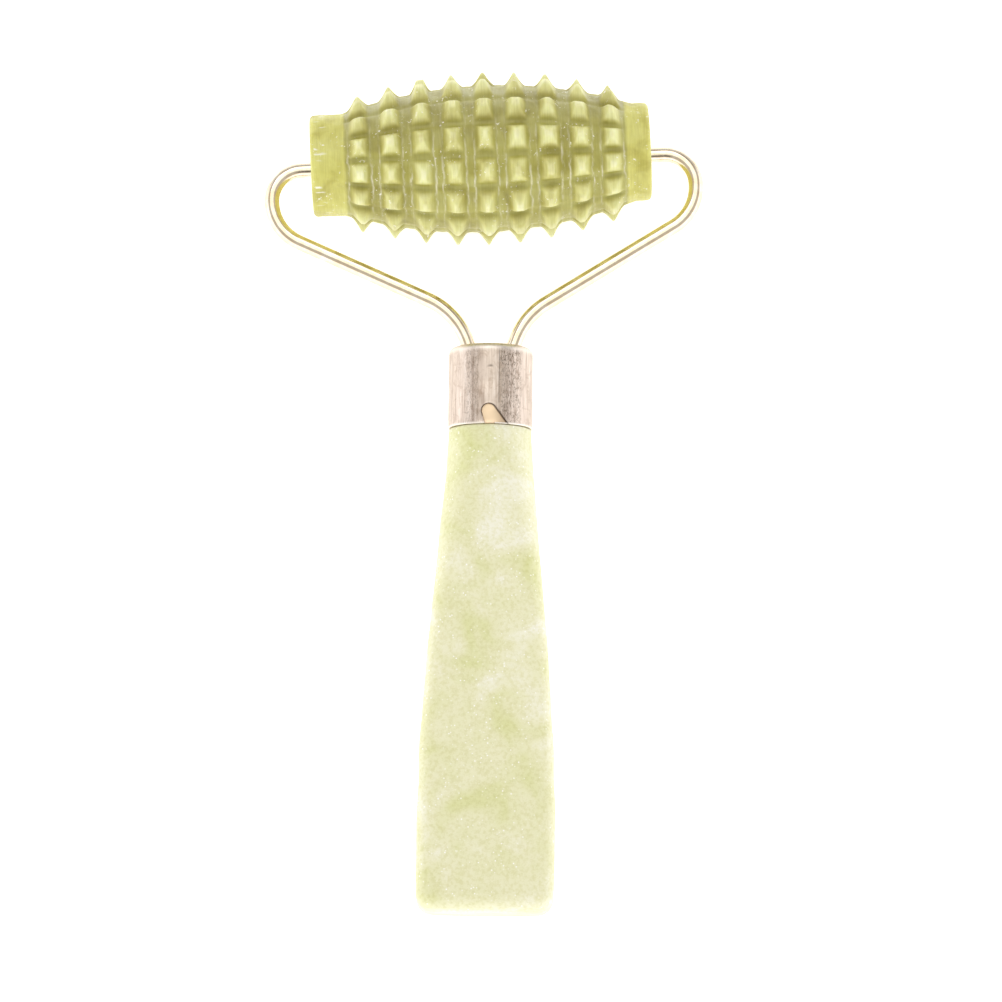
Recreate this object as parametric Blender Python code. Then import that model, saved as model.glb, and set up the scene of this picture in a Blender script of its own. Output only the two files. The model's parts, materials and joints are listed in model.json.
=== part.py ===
"""Jade face roller: a spiked stone barrel that spins in a sprung wire frame on a stone handle.

The tool lies on a flat surface, resting on its lowest spike and on the lower edge of the
handle's butt.  In the tool's own plan the handle runs along Y with the head at +Y, X runs
across and Z is up, and zero is the centre of the ferrule's closed top.
Units are metres; MM turns millimetres into metres.
"""
import math

import bmesh
import bpy
from mathutils import Matrix, Quaternion, Vector

MM = 0.001
FIT_GAP = 0.3 * MM                 # clearance that touching pieces keep

# Wire frame
WIRE_RADIUS = 1.3 * MM
AXIS_REACH = 33.15 * MM            # ferrule top to the roller's axis
WIRE_DROP = 0.65 * MM              # the loose barrel sits this far beyond the axle stubs
STUB_REACH = AXIS_REACH - WIRE_DROP
HEAD_TILT = math.radians(3.2)      # lean of the bent head in its own plane
SIDE_X = 36.4 * MM                 # middle of the wire at its widest
ARM_FOOT_Y = 22.15 * MM            # where the side run meets the arm
RIGHT_KNEE = (5.95 * MM, 5.35 * MM)    # the hand-bent knees differ a little
LEFT_KNEE = (5.45 * MM, 6.5 * MM)
LEG_X = 1.8 * MM                   # half the spacing of the legs inside the handle
LEG_Y = -5.4 * MM                  # where the legs turn parallel
HAIRPIN_Y = -24.0 * MM
STUB_X = 19.5 * MM                 # inner end of each axle stub
LOOP_BEND = 5.3 * MM
ARM_BEND = 8.0 * MM
KNEE_BEND = 12.5 * MM
LEG_BEND = 5.0 * MM
BEND_STEP = 12.0                   # degrees of arc for each short run of a bend
WIRE_SIDES = 3                     # bevel resolution of the wire

# Spiked barrel
ROLLER_LENGTH = 58.1 * MM
ROLLER_SLIP = -0.3 * MM            # the barrel's middle along its axis, from the head's middle
RING_SHIFT = 0.86 * MM             # the middle ring, from the barrel's middle
RING_COUNT = 9
RING_PITCH = 5.39 * MM
TEETH_ROUND = 14
TIP_RADIUS = 14.85 * MM
ROOT_RADIUS = 12.6 * MM
TIP_FALL = 6.78                    # per metre: how the spike tips fall away from the middle
ROOT_FALL = 6.45                   # the same for the groove floors
RIGHT_COLLAR = 8.4 * MM
LEFT_COLLAR = 8.7 * MM
COLLAR_RISE = 0.02                 # slope of a collar towards the rings
COLLAR_EDGE = 0.8 * MM
TOOTH_BASE = 1.85 * MM             # half width of a ring at its foot
TOOTH_TIP = 0.45 * MM              # half width of a ring at its crest
TOOTH_FLAT = 0.06                  # share of the tooth pitch that the flutes leave uncut
BORE_RADIUS = 3.3 * MM
ROLLER_PHASE = math.radians(8.3)   # turn of the first spike above the tool's plane

# Bushes in the barrel's bore
BUSH_RADIUS = BORE_RADIUS - FIT_GAP
BUSH_BORE = WIRE_RADIUS + WIRE_DROP + FIT_GAP
BUSH_LENGTH = 12.0 * MM
BUSH_STEPS = 32

# Ferrule
FERRULE_RADIUS = 7.2 * MM
FERRULE_LIP = 7.3 * MM
FERRULE_WALL = 0.65 * MM
FERRULE_LENGTH = 14.0 * MM
FERRULE_SHOULDER = 1.2 * MM
CLINCH_DEPTH = 0.35 * MM           # how deep the pressed tongue at the rim lies
CLINCH_X = 0.35 * MM               # middle of the tongue's round side
CLINCH_RISE = 1.95 * MM            # its height over the rim
CLINCH_ROUND = 1.6 * MM
CLINCH_TOE = 3.5 * MM              # the tongue's pointed end on the rim

# Handle
HANDLE_LENGTH = 82.65 * MM         # ferrule rim to butt
NECK_HALF = 7.05 * MM
BUTT_HALF_WIDTH = 11.72 * MM
BUTT_HALF_DEPTH = 7.5 * MM
SWELL_LENGTH = 69.5 * MM           # full width is reached this far below the neck
DEPTH_LENGTH = 40.0 * MM           # full depth is reached this far below the neck
CORNER_RADIUS = 2.4 * MM
BUTT_EDGE = 3.0 * MM
TENON_TOP = -5.0 * MM
TENON_RADIUS = FERRULE_RADIUS - FERRULE_WALL - FIT_GAP
SOCKET_RADIUS = 4.3 * MM
SOCKET_FLOOR = -27.6 * MM
RESIN_FLOOR = SOCKET_FLOOR + FIT_GAP
HANDLE_STATIONS = 14
CORNER_STEPS = 7                   # points on each rounded corner of the handle's section

TURN_STEPS = 48                    # steps round the ferrule and the resin
SMOOTH_BELOW = math.radians(35)


# ---------------------------------------------------------------- scene and materials

def clear_scene():
    """Remove everything that is in the scene."""
    for thing in list(bpy.data.objects):
        bpy.data.objects.remove(thing, do_unlink=True)


def material(name, colour, roughness, metallic=0.0):
    """Make a Principled material."""
    made = bpy.data.materials.new(name)
    made.use_nodes = True
    shader = made.node_tree.nodes["Principled BSDF"]
    shader.inputs["Base Color"].default_value = (*colour, 1.0)
    shader.inputs["Roughness"].default_value = roughness
    shader.inputs["Metallic"].default_value = metallic
    return made


def pale_jade():
    """Cloudy cream and yellow-green stone of the handle."""
    return material("pale_jade", (0.78, 0.76, 0.50), 0.35)


def olive_jade():
    """Greener and more even stone of the barrel."""
    return material("olive_jade", (0.52, 0.49, 0.19), 0.30)


def drawn_metal():
    """Thin plated sheet, warm in tone."""
    return material("drawn_metal", (0.72, 0.63, 0.54), 0.28, 1.0)


def bright_wire():
    """Plated spring wire, pale gold."""
    return material("bright_wire", (0.80, 0.74, 0.60), 0.12, 1.0)


def bush_plastic(side):
    """Milky hard plastic."""
    return material("bush_plastic_" + side, (0.80, 0.80, 0.76), 0.45)


def cured_resin():
    """Yellowish casting resin."""
    return material("cured_resin", (0.66, 0.60, 0.38), 0.40)


# ---------------------------------------------------------------- general modelling steps

def place(thing, parent=None, location=(0, 0, 0), rotation=(0, 0, 0)):
    """Link an object to the scene and hang it on its parent."""
    bpy.context.scene.collection.objects.link(thing)
    thing.parent = parent
    thing.location = location
    thing.rotation_euler = rotation
    return thing


def empty(name, parent=None, location=(0, 0, 0), rotation=(0, 0, 0)):
    """Make an empty to hang pieces on."""
    holder = bpy.data.objects.new(name, None)
    holder.empty_display_size = 10 * MM
    return place(holder, parent, location, rotation)


def mesh_from(name, bm):
    """Write a bmesh to a mesh with its faces pointing out."""
    bmesh.ops.remove_doubles(bm, verts=bm.verts, dist=0.001 * MM)
    bmesh.ops.recalc_face_normals(bm, faces=bm.faces)
    mesh = bpy.data.meshes.new(name)
    bm.to_mesh(mesh)
    bm.free()
    return mesh


def solid(name, bm, finish, parent):
    """Make a smooth-shaded object from a bmesh and hang it on its parent."""
    mesh = mesh_from(name, bm)
    mesh.shade_smooth()
    mesh.set_sharp_from_angle(angle=SMOOTH_BELOW)
    mesh.materials.append(finish)
    return place(bpy.data.objects.new(name, mesh), parent)


def turned(outline, axis, steps, closed=True):
    """Spin an outline of (along, radius) points round X or Y.

    A closed outline gives a ring with a bore.  An open one starts and ends on the axis.
    """
    bm = bmesh.new()
    if axis == "X":
        direction = (1, 0, 0)
        points = [bm.verts.new((along, radius, 0)) for along, radius in outline]
    else:
        direction = (0, 1, 0)
        points = [bm.verts.new((radius, along, 0)) for along, radius in outline]
    followers = points[1:] + points[:1] if closed else points[1:]
    edges = [bm.edges.new(pair) for pair in zip(points, followers)]
    bmesh.ops.spin(bm, geom=points + edges, cent=(0, 0, 0), axis=direction,
                   angle=math.tau, steps=steps, use_merge=True)
    return bm


def lofted(rings):
    """Skin a chain of rings that have the same number of points, and cap both ends."""
    bm = bmesh.new()
    rows = [[bm.verts.new(point) for point in ring] for ring in rings]
    for lower, upper in zip(rows, rows[1:]):
        for here in range(len(lower)):
            after = (here + 1) % len(lower)
            bm.faces.new((lower[here], lower[after], upper[after], upper[here]))
    bm.faces.new(list(reversed(rows[0])))
    bm.faces.new(rows[-1])
    return bm


def cutting_tool(name, bm, parent):
    """Make a hidden solid that other pieces are cut with."""
    tool = place(bpy.data.objects.new(name, mesh_from(name, bm)), parent)
    tool.hide_render = True
    tool.display_type = "WIRE"
    return tool


def cut(piece, tool):
    """Cut a tool out of a piece."""
    boolean = piece.modifiers.new(tool.name, "BOOLEAN")
    boolean.operation = "DIFFERENCE"
    boolean.solver = "EXACT"
    boolean.object = tool


# ---------------------------------------------------------------- wire frame

def filleted(corners, bends):
    """Round each inner corner of a path with an arc; bends gives a radius for each."""
    path = [corners[0]]
    for before, corner, after, radius in zip(corners, corners[1:], corners[2:], bends):
        back = (before - corner).normalized()
        ahead = (after - corner).normalized()
        half_open = back.angle(ahead) / 2
        centre = corner + (back + ahead).normalized() * radius / math.sin(half_open)
        arm = corner + back * radius / math.tan(half_open) - centre
        turn = math.pi - 2 * half_open
        steps = max(3, round(math.degrees(turn) / BEND_STEP))
        spin_axis = ahead.cross(back)
        for step in range(steps + 1):
            path.append(centre + Quaternion(spin_axis, turn * step / steps) @ arm)
    path.append(corners[-1])
    return path


def head_point(x, y):
    """A point of the head's own plan, tilted about the ferrule's top."""
    return Matrix.Rotation(HEAD_TILT, 3, "Z") @ Vector((x, y, 0))


def side_corners(side, knee):
    """Corners of one side of the wire, from the inner end of its stub to its knee."""
    return [
        head_point(side * STUB_X, STUB_REACH),
        head_point(side * SIDE_X, STUB_REACH),
        head_point(side * SIDE_X, ARM_FOOT_Y),
        head_point(side * knee[0], knee[1]),
    ]


def wire_path():
    """Middle line of the wire: stub, loop, arm, knee and leg, hairpin, and the same back."""
    right = side_corners(1, RIGHT_KNEE)
    right += [Vector((LEG_X, LEG_Y, 0)), Vector((LEG_X, HAIRPIN_Y, 0))]
    left = [Vector((-LEG_X, HAIRPIN_Y, 0)), Vector((-LEG_X, LEG_Y, 0))]
    left += side_corners(-1, LEFT_KNEE)[::-1]
    side_bends = [LOOP_BEND, ARM_BEND, KNEE_BEND, LEG_BEND]
    hairpin_bend = 0.99 * LEG_X
    bends = side_bends + [hairpin_bend, hairpin_bend] + side_bends[::-1]
    return filleted(right + left, bends)


def wire_sweep(radius):
    """Sweep a round section along the wire's path and close its ends."""
    path = wire_path()
    curve = bpy.data.curves.new("wire_path", "CURVE")
    curve.dimensions = "3D"
    curve.twist_mode = "Z_UP"
    spline = curve.splines.new("POLY")
    spline.points.add(len(path) - 1)
    for point, middle in zip(spline.points, path):
        point.co = (*middle, 1)
    curve.bevel_depth = radius
    curve.bevel_resolution = WIRE_SIDES
    curve.use_fill_caps = True
    swept = place(bpy.data.objects.new("wire_path", curve))
    evaluated = swept.evaluated_get(bpy.context.evaluated_depsgraph_get())
    bm = bmesh.new()
    bm.from_mesh(evaluated.to_mesh())
    evaluated.to_mesh_clear()
    bpy.data.objects.remove(swept, do_unlink=True)
    return bm


def wire_frame(parent):
    """One bent wire: two axle stubs, two loops, two arms and a hairpin in the handle."""
    return solid("wire_frame", wire_sweep(WIRE_RADIUS), bright_wire(), parent)


def wire_clearance(parent):
    """The wire with its fitting gap, which opens the pieces that it passes through."""
    return cutting_tool("wire_clearance", wire_sweep(WIRE_RADIUS + FIT_GAP), parent)


# ---------------------------------------------------------------- spiked barrel and bushes

def crest_radius(x):
    """Radius of the spike tips at a place along the barrel."""
    return TIP_RADIUS - TIP_FALL * (x - RING_SHIFT) ** 2


def floor_radius(x):
    """Radius of the groove floors, or of the collar where that is higher."""
    collar = RIGHT_COLLAR if x > 0 else LEFT_COLLAR
    collar += COLLAR_RISE * (ROLLER_LENGTH / 2 - abs(x))
    return max(ROOT_RADIUS - ROOT_FALL * (x - RING_SHIFT) ** 2, collar)


def ring_middles():
    """Places of the rings of spikes along the barrel."""
    first = RING_SHIFT - (RING_COUNT - 1) / 2 * RING_PITCH
    return [first + ring * RING_PITCH for ring in range(RING_COUNT)]


def collar_outline(side):
    """Half section of the eased edge of one collar, from its outside to its end."""
    end = ROLLER_LENGTH / 2
    radius = floor_radius(side * end)
    eased = COLLAR_EDGE * (1 - math.sqrt(0.5))
    return [(side * (end - COLLAR_EDGE), radius),
            (side * (end - eased), radius - eased),
            (side * end, radius - COLLAR_EDGE)]


def barrel_outline():
    """Half section of the turned barrel: collar, rings with floors between, collar, bore."""
    end = ROLLER_LENGTH / 2
    outline = [(-end, BORE_RADIUS)] + collar_outline(-1)[::-1]
    for middle in ring_middles():
        outline.append((middle - TOOTH_BASE, floor_radius(middle - TOOTH_BASE)))
        outline.append((middle - TOOTH_TIP, crest_radius(middle)))
        outline.append((middle + TOOTH_TIP, crest_radius(middle)))
        outline.append((middle + TOOTH_BASE, floor_radius(middle + TOOTH_BASE)))
    outline += collar_outline(1)
    outline.append((end, BORE_RADIUS))
    return outline


def cut_flutes(bm):
    """Mill a V groove between each two spikes, down to the groove floors."""
    for vert in bm.verts:
        radius = math.hypot(vert.co.y, vert.co.z)
        floor = floor_radius(vert.co.x)
        pitches = math.atan2(vert.co.z, vert.co.y) * TEETH_ROUND / math.tau
        off_spike = abs(pitches - round(pitches))
        share = max(0.0, (off_spike - TOOTH_FLAT) / (0.5 - TOOTH_FLAT))
        limit = crest_radius(vert.co.x) * (1 - share) + floor * share
        if radius > max(limit, floor):
            vert.co.y *= limit / radius
            vert.co.z *= limit / radius


def roller_stone(parent):
    """Barrel of jade with rings of spikes, bored right through."""
    bm = turned(barrel_outline(), "X", 4 * TEETH_ROUND)
    cut_flutes(bm)
    bmesh.ops.rotate(bm, verts=bm.verts, cent=(0, 0, 0),
                     matrix=Matrix.Rotation(ROLLER_PHASE, 3, "X"))
    return solid("roller_stone", bm, olive_jade(), parent)


def bush(side, parent):
    """Plastic sleeve in one end of the barrel's bore, on the axle stub."""
    direction = 1 if side == "right" else -1
    outer_end = direction * (ROLLER_LENGTH / 2 - FIT_GAP)
    inner_end = outer_end - direction * BUSH_LENGTH
    outline = [(outer_end, BUSH_BORE), (outer_end, BUSH_RADIUS),
               (inner_end, BUSH_RADIUS), (inner_end, BUSH_BORE)]
    bm = turned(outline, "X", BUSH_STEPS)
    return solid("bush_" + side, bm, bush_plastic(side), parent)


# ---------------------------------------------------------------- ferrule and resin

def ferrule_outline():
    """Half section of the drawn cap: rim with its lip, wall, rounded shoulder and top."""
    inner = FERRULE_RADIUS - FERRULE_WALL
    shoulder = []
    for step in range(5):
        angle = math.radians(90) * step / 4
        shoulder.append((FERRULE_SHOULDER * (math.sin(angle) - 1),
                         FERRULE_RADIUS + FERRULE_SHOULDER * (math.cos(angle) - 1)))
    rim = -FERRULE_LENGTH
    return [
        (-FERRULE_WALL, 0),
        (-FERRULE_WALL, inner - 0.5 * MM),
        (-FERRULE_WALL - 0.5 * MM, inner),
        (rim, inner),
        (rim, FERRULE_LIP - 0.15 * MM),
        (rim + 0.15 * MM, FERRULE_LIP),
        (rim + 0.6 * MM, FERRULE_RADIUS),
        *shoulder,
        (0, 0),
    ]


def clinch_tool(parent):
    """Leaf-shaped tool that presses the tongue into the rim, on the upper side."""
    start = math.radians(235)
    sweep = math.radians(-190)
    leaf = [(CLINCH_TOE, -0.5 * MM)]
    for step in range(9):
        angle = start + sweep * step / 8
        leaf.append((CLINCH_X + CLINCH_ROUND * math.cos(angle),
                     CLINCH_RISE + CLINCH_ROUND * math.sin(angle)))
    leaf[1] = (leaf[1][0], -0.5 * MM)
    low = FERRULE_RADIUS - CLINCH_DEPTH
    high = FERRULE_RADIUS + 1.0 * MM
    rings = []
    for radius in (low, high):
        ring = []
        for across, rise in leaf:
            drop = radius - math.sqrt(radius * radius - across * across)
            ring.append((across, rise - FERRULE_LENGTH, radius - drop))
        rings.append(ring)
    return cutting_tool("clinch_tool", lofted(rings), parent)


def ferrule(parent, clearance):
    """Drawn metal cap over the neck, with two holes for the wire and a pressed tongue."""
    bm = turned(ferrule_outline(), "Y", TURN_STEPS, closed=False)
    cap = solid("ferrule", bm, drawn_metal(), parent)
    cut(cap, clearance)
    cut(cap, clinch_tool(parent))
    return cap


def resin_fill(parent, clearance):
    """Resin that holds the wire: a disc under the ferrule's top and a plug in the socket."""
    top = -FERRULE_WALL - FIT_GAP
    disc = TENON_RADIUS
    plug = SOCKET_RADIUS - FIT_GAP
    outline = [
        (top, 0),
        (top, disc - 0.5 * MM),
        (top - 0.5 * MM, disc),
        (TENON_TOP + FIT_GAP, disc),
        (TENON_TOP + FIT_GAP, plug),
        (RESIN_FLOOR, plug),
        (RESIN_FLOOR, 0),
    ]
    bm = turned(outline, "Y", TURN_STEPS, closed=False)
    fill = solid("resin_fill", bm, cured_resin(), parent)
    cut(fill, clearance)
    return fill


# ---------------------------------------------------------------- handle

def swell(share):
    """How far the width has grown, from 0 at the neck to 1 at full width."""
    share = min(max(share, 0.0), 1.0)
    eased = share * share * (3 - 2 * share)
    return 0.5 * math.sin(math.pi / 2 * share) + 0.5 * eased


def handle_section(below_neck):
    """Half width, half depth and corner radius at a distance below the ferrule's rim."""
    grown = swell(below_neck / SWELL_LENGTH)
    deepened = swell(below_neck / DEPTH_LENGTH)
    half_width = NECK_HALF + (BUTT_HALF_WIDTH - NECK_HALF) * grown
    half_depth = NECK_HALF + (BUTT_HALF_DEPTH - NECK_HALF) * deepened
    corner = NECK_HALF + (CORNER_RADIUS - NECK_HALF) * deepened
    return half_width, half_depth, min(corner, half_width, half_depth)


def rounded_ring(y, half_width, half_depth, corner):
    """Points of a rounded rectangle across the handle; equal sizes make a circle."""
    ring = []
    for quarter in range(4):
        side_x = (1, -1, -1, 1)[quarter]
        side_z = (1, 1, -1, -1)[quarter]
        for step in range(CORNER_STEPS):
            angle = math.radians(90) * (quarter + (step + 0.5) / CORNER_STEPS)
            ring.append((side_x * (half_width - corner) + corner * math.cos(angle),
                         y,
                         side_z * (half_depth - corner) + corner * math.sin(angle)))
    return ring


def handle_rings():
    """Rings from the socket's floor up and over the tenon, then down the outside to the butt."""
    neck_y = -FERRULE_LENGTH - FIT_GAP
    rings = []
    for y, radius in ((SOCKET_FLOOR, SOCKET_RADIUS), (TENON_TOP, SOCKET_RADIUS),
                      (TENON_TOP, TENON_RADIUS), (neck_y, TENON_RADIUS)):
        rings.append(rounded_ring(y, radius, radius, radius))
    body_length = HANDLE_LENGTH - BUTT_EDGE
    for station in range(HANDLE_STATIONS):
        below = FIT_GAP + (body_length - FIT_GAP) * station / (HANDLE_STATIONS - 1)
        rings.append(rounded_ring(-FERRULE_LENGTH - below, *handle_section(below)))
    half_width, half_depth, corner = handle_section(HANDLE_LENGTH)
    for step in range(1, 5):
        angle = math.radians(90) * step / 4
        inset = BUTT_EDGE * (1 - math.cos(angle))
        y = -FERRULE_LENGTH - body_length - BUTT_EDGE * math.sin(angle)
        rings.append(rounded_ring(y, half_width - inset, half_depth - inset,
                                  max(corner - inset, 0.4 * MM)))
    return rings


def handle(parent):
    """Stone handle: round neck with a tenon and a drilled socket, widening to a flat bar."""
    return solid("handle", lofted(handle_rings()), pale_jade(), parent)


# ---------------------------------------------------------------- assembly

def resting_pitch():
    """Angle that brings the lowest spike and the butt's lower edge onto one level."""
    edge_y = -FERRULE_LENGTH - HANDLE_LENGTH + BUTT_EDGE
    axis_y = AXIS_REACH * math.cos(HEAD_TILT)
    reach = axis_y - edge_y
    edge_drop = BUTT_HALF_DEPTH - BUTT_EDGE
    lean = math.atan2(edge_drop, reach)
    return math.asin((TIP_RADIUS - BUTT_EDGE) / math.hypot(reach, edge_drop)) - lean


def centre_on_floor(tool):
    """Move the tool so that its box stands on Z = 0 with its middle over the origin."""
    bpy.context.view_layer.update()
    depsgraph = bpy.context.evaluated_depsgraph_get()
    corners = []
    for thing in bpy.data.objects:
        if thing.type != "MESH" or thing.hide_render:
            continue
        evaluated = thing.evaluated_get(depsgraph)
        corners += [evaluated.matrix_world @ vert.co for vert in evaluated.data.vertices]
    low = Vector([min(corner[axis] for corner in corners) for axis in range(3)])
    high = Vector([max(corner[axis] for corner in corners) for axis in range(3)])
    middle = (low + high) / 2
    tool.location = (-middle.x, -middle.y, -low.z)


def build_roller():
    """Put the whole tool together, lying at rest."""
    clear_scene()
    tool = empty("tool", rotation=(resting_pitch(), 0, 0))
    clearance = wire_clearance(tool)
    handle(tool)
    ferrule(tool, clearance)
    resin_fill(tool, clearance)
    wire_frame(tool)
    middle = head_point(ROLLER_SLIP, AXIS_REACH)
    spin_axis = empty("roller_axis", tool, middle, (0, 0, HEAD_TILT))
    roller_stone(spin_axis)
    bush("left", spin_axis)
    bush("right", spin_axis)
    centre_on_floor(tool)


build_roller()
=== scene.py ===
"""Jade face roller: the finished surfaces and materials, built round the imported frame.

Every shape is worked out in the tool's own plan, in millimetres: Y runs up the handle to the
head, X across, Z up off the table, zero at the centre of the ferrule's closed top.
"""
import json
import math

import bpy
import numpy as np
from mathutils import Matrix, Vector


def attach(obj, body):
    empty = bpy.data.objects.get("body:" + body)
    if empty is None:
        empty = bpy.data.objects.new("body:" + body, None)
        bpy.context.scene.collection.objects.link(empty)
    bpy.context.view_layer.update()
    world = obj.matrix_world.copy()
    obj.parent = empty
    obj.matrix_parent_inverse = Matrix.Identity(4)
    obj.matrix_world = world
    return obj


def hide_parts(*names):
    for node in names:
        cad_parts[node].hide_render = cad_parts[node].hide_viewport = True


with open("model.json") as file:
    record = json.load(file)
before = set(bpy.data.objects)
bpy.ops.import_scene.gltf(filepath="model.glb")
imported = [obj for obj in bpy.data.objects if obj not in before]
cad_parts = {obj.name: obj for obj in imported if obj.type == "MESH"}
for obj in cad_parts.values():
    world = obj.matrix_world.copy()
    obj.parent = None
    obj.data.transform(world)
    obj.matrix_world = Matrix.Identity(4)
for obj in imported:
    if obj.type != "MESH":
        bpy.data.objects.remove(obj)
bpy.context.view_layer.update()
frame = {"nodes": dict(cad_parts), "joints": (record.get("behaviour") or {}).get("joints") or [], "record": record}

MM = 0.001

# Wire frame, the same sizes as in the design
WIRE_RADIUS = 1.3
STUB_REACH = 32.5                    # from the ferrule's top up to the two stubs
STUB_X = 19.5                        # inner end of each stub
HEAD_TILT = math.radians(3.2)
SIDE_X = 36.4                        # outer run of each loop
ARM_FOOT_Y = 22.15                   # where a loop turns in to its arm
RIGHT_KNEE, LEFT_KNEE = (5.95, 5.35), (5.45, 6.5)
LEG_X, LEG_Y = 1.8, -5.4
HAIRPIN_Y = -24.0
HAIRPIN_BEND = 0.99 * LEG_X
SIDE_BENDS = [5.3, 8.0, 12.5, 5.0]   # bend radii, from a stub to its leg
WIRE_SPACING, WIRE_STEPS = 0.55, 40
STUB_END_LOSS, STUB_END_LENGTH = 0.35, 0.5

# Spiked barrel
ROLLER_LENGTH = 58.1
RING_SHIFT = 0.86                    # the middle ring, from the middle of the barrel
RING_COUNT = 9
RING_PITCH = 5.39
TEETH_ROUND = 14
TIP_RADIUS, TIP_FALL = 14.85, 0.00678
ROOT_RADIUS, ROOT_FALL = 12.6, 0.00645
RIGHT_COLLAR, LEFT_COLLAR = 8.4, 8.7
COLLAR_EDGE = 0.8
BORE_RADIUS = 3.3
ROLLER_PHASE = math.radians(8.3)
STATIONS_PER_RING, STEPS_PER_TOOTH = 28, 22
NOISE_ARC = 12.0                     # the radius that turns an angle into a length for noise

# Wear of the spikes: lowest and highest, in millimetres where it is a size
SHARP_ROWS = [0, 7]                  # spike rows that kept their sharp tips
BLUNT_RING = 2                       # the ring whose spike in the first of them is worn flat
CREST, CREST_WEAR = (0.05, 0.18), (0.10, 0.40)
RIDGE, RIDGE_WEAR = (0.0, 0.25), (0.05, 0.35)
BLUNT_CREST, BLUNT_CHANCE = 0.6, 0.05
HEIGHT_SPREAD, HEIGHT_WEAR = 0.02, (0, 0.06)
SLIP_ALONG, SLIP_ROUND = 0.07, 0.09  # how far a spike's tip strays from its place
FOOT = (1.85, 2.05)                  # half the width of a ring at its foot
HOLLOW, HOLLOW_WEAR = (1.45, 1.65), 0.1
ROUNDING = (1.1, 1.5)
FLUTE_FLAT = 0.5                     # half the level strip between two rows of spikes
FLUTE_HALF, FLUTE_DEPTH = 0.7, 0.20  # the shallow flute along that strip
FOOT_LINE_OUT, FOOT_LINE_HALF, FOOT_WOBBLE = 0.05, 0.13, 0.10
UNEVEN_HEIGHT, UNEVEN_SIZE = 0.05, 3.5
GRIT_HEIGHT, GRIT_SIZE = 0.018, 0.9
CHIP_DEPTH, CHIP_SIZE = 0.12, 1.1
UNEVEN_DROP = 0.02                   # lowers the uneven surface, so that little of it is proud
DUSTY_TURN, DUSTY_REACH = math.radians(118), 0.60     # the side with white dust at the feet
GREY_TURN, GREY_REACH = math.radians(38), 0.45        # the side with greyed floors
NICKED_FROM, NICKED_FADE = -25.9, 1.6                 # the left collar's nicked end

# Ferrule
FERRULE_RADIUS, FERRULE_LIP = 7.2, 7.3
FERRULE_WALL = 0.65
FERRULE_LENGTH = 14.0
FERRULE_SHOULDER = 1.2
INNER_ROUND = 0.6
RIM_FLARE, RIM_FLARE_LENGTH = 0.10, 0.45
HOLE_GAP = 0.2
DENT_DEPTH, DENT_SIZE = 0.035, 6.0
RIPPLE_DEPTH, RIPPLE_SIZE = 0.012, 3.0
DENT_DROP = 0.03
FRONT_SHARE = 0.3                    # the marks stop where the wall turns away from the front

# Its pressed tongue and marks: across from the middle, and up from the rim
TONGUE_HEAD, TONGUE_HEAD_RADIUS = (-0.26, 2.15), 1.30
TONGUE_TOE, TONGUE_HEEL = (3.25, -0.3), (-0.85, -0.3)
TONGUE_DEPTH, TONGUE_FLANK = 0.32, 0.12
BURR_HEIGHT, BURR_OUT, BURR_HALF = 0.03, 0.08, 0.10
WHOLE_LIP_RISE, WHOLE_LIP_FROM = 0.22, 0.7
TOOL_MARK_RISE, TOOL_MARK_DEPTH = 9.85, 0.08
FOLD_X, FOLD_FOOT, FOLD_DEPTH = 1.5, 3.6, 0.03
SCUFFED_BAND, SCUFFED_FADE = (1.2, 5.6), 0.8
RUBBED_BAND, RUBBED_FADE, RUBBED_SHARE = (-4.6, -1.8), 0.5, 0.5

# Handle and bushes
HANDLE_LENGTH = 82.65
NECK_HALF = 7.05
BUTT_HALF_WIDTH, BUTT_HALF_DEPTH = 11.72, 7.5
SWELL_LENGTH, DEPTH_LENGTH = 69.5, 40.0
CORNER_RADIUS = 2.4
BUTT_EDGE = 3.0
TENON_TOP, TENON_RADIUS = -5.0, 6.25
SOCKET_RADIUS, SOCKET_FLOOR = 4.3, -27.6
NECK_GAP = 0.06                      # from the cap's rim to the handle's shoulder
HANDLE_STEPS, HANDLE_STATIONS = 288, 190
HANDLE_WAVE, WAVE_RADIUS = 0.05, 9.0
BUSH_BORE, BUSH_RADIUS, BUSH_LENGTH = 2.25, 3.0, 12.0
FIT_GAP = 0.3


# ---------------------------------------------------------------- where the tool lies

def tool_place():
    """The tool's own axes and zero, read from the butt's and the back's flat faces."""
    faces = {mount["name"]: mount for mount in frame["record"]["mounts"]}
    up_handle = -np.array(faces["handle_end"]["axis"])
    out = -np.array(faces["handle_back"]["axis"])
    across = np.cross(up_handle, out)
    zero = np.array(faces["handle_end"]["pos_m"])
    zero = zero + up_handle * (FERRULE_LENGTH + HANDLE_LENGTH) * MM
    return np.stack([across, up_handle, out]), zero


def roller_place():
    """The barrel's axes and middle: X along the spin axis, Z as near the tool's as can be."""
    spin = frame["joints"][0]
    along = np.array(spin["axis"])
    out = TOOL_AXES[2] - along * (TOOL_AXES[2] @ along)
    out = out / np.linalg.norm(out)
    return np.stack([along, np.cross(out, along), out]), np.array(spin["pos_m"])


TOOL_AXES, TOOL_ZERO = tool_place()
ROLLER_AXES, ROLLER_MIDDLE = roller_place()


def in_frame(points, axes=TOOL_AXES, zero=TOOL_ZERO):
    """Points in a piece's own millimetres, turned and moved to the frame's metres."""
    return points @ axes * MM + zero


# ---------------------------------------------------------------- meshes from arrays

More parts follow.
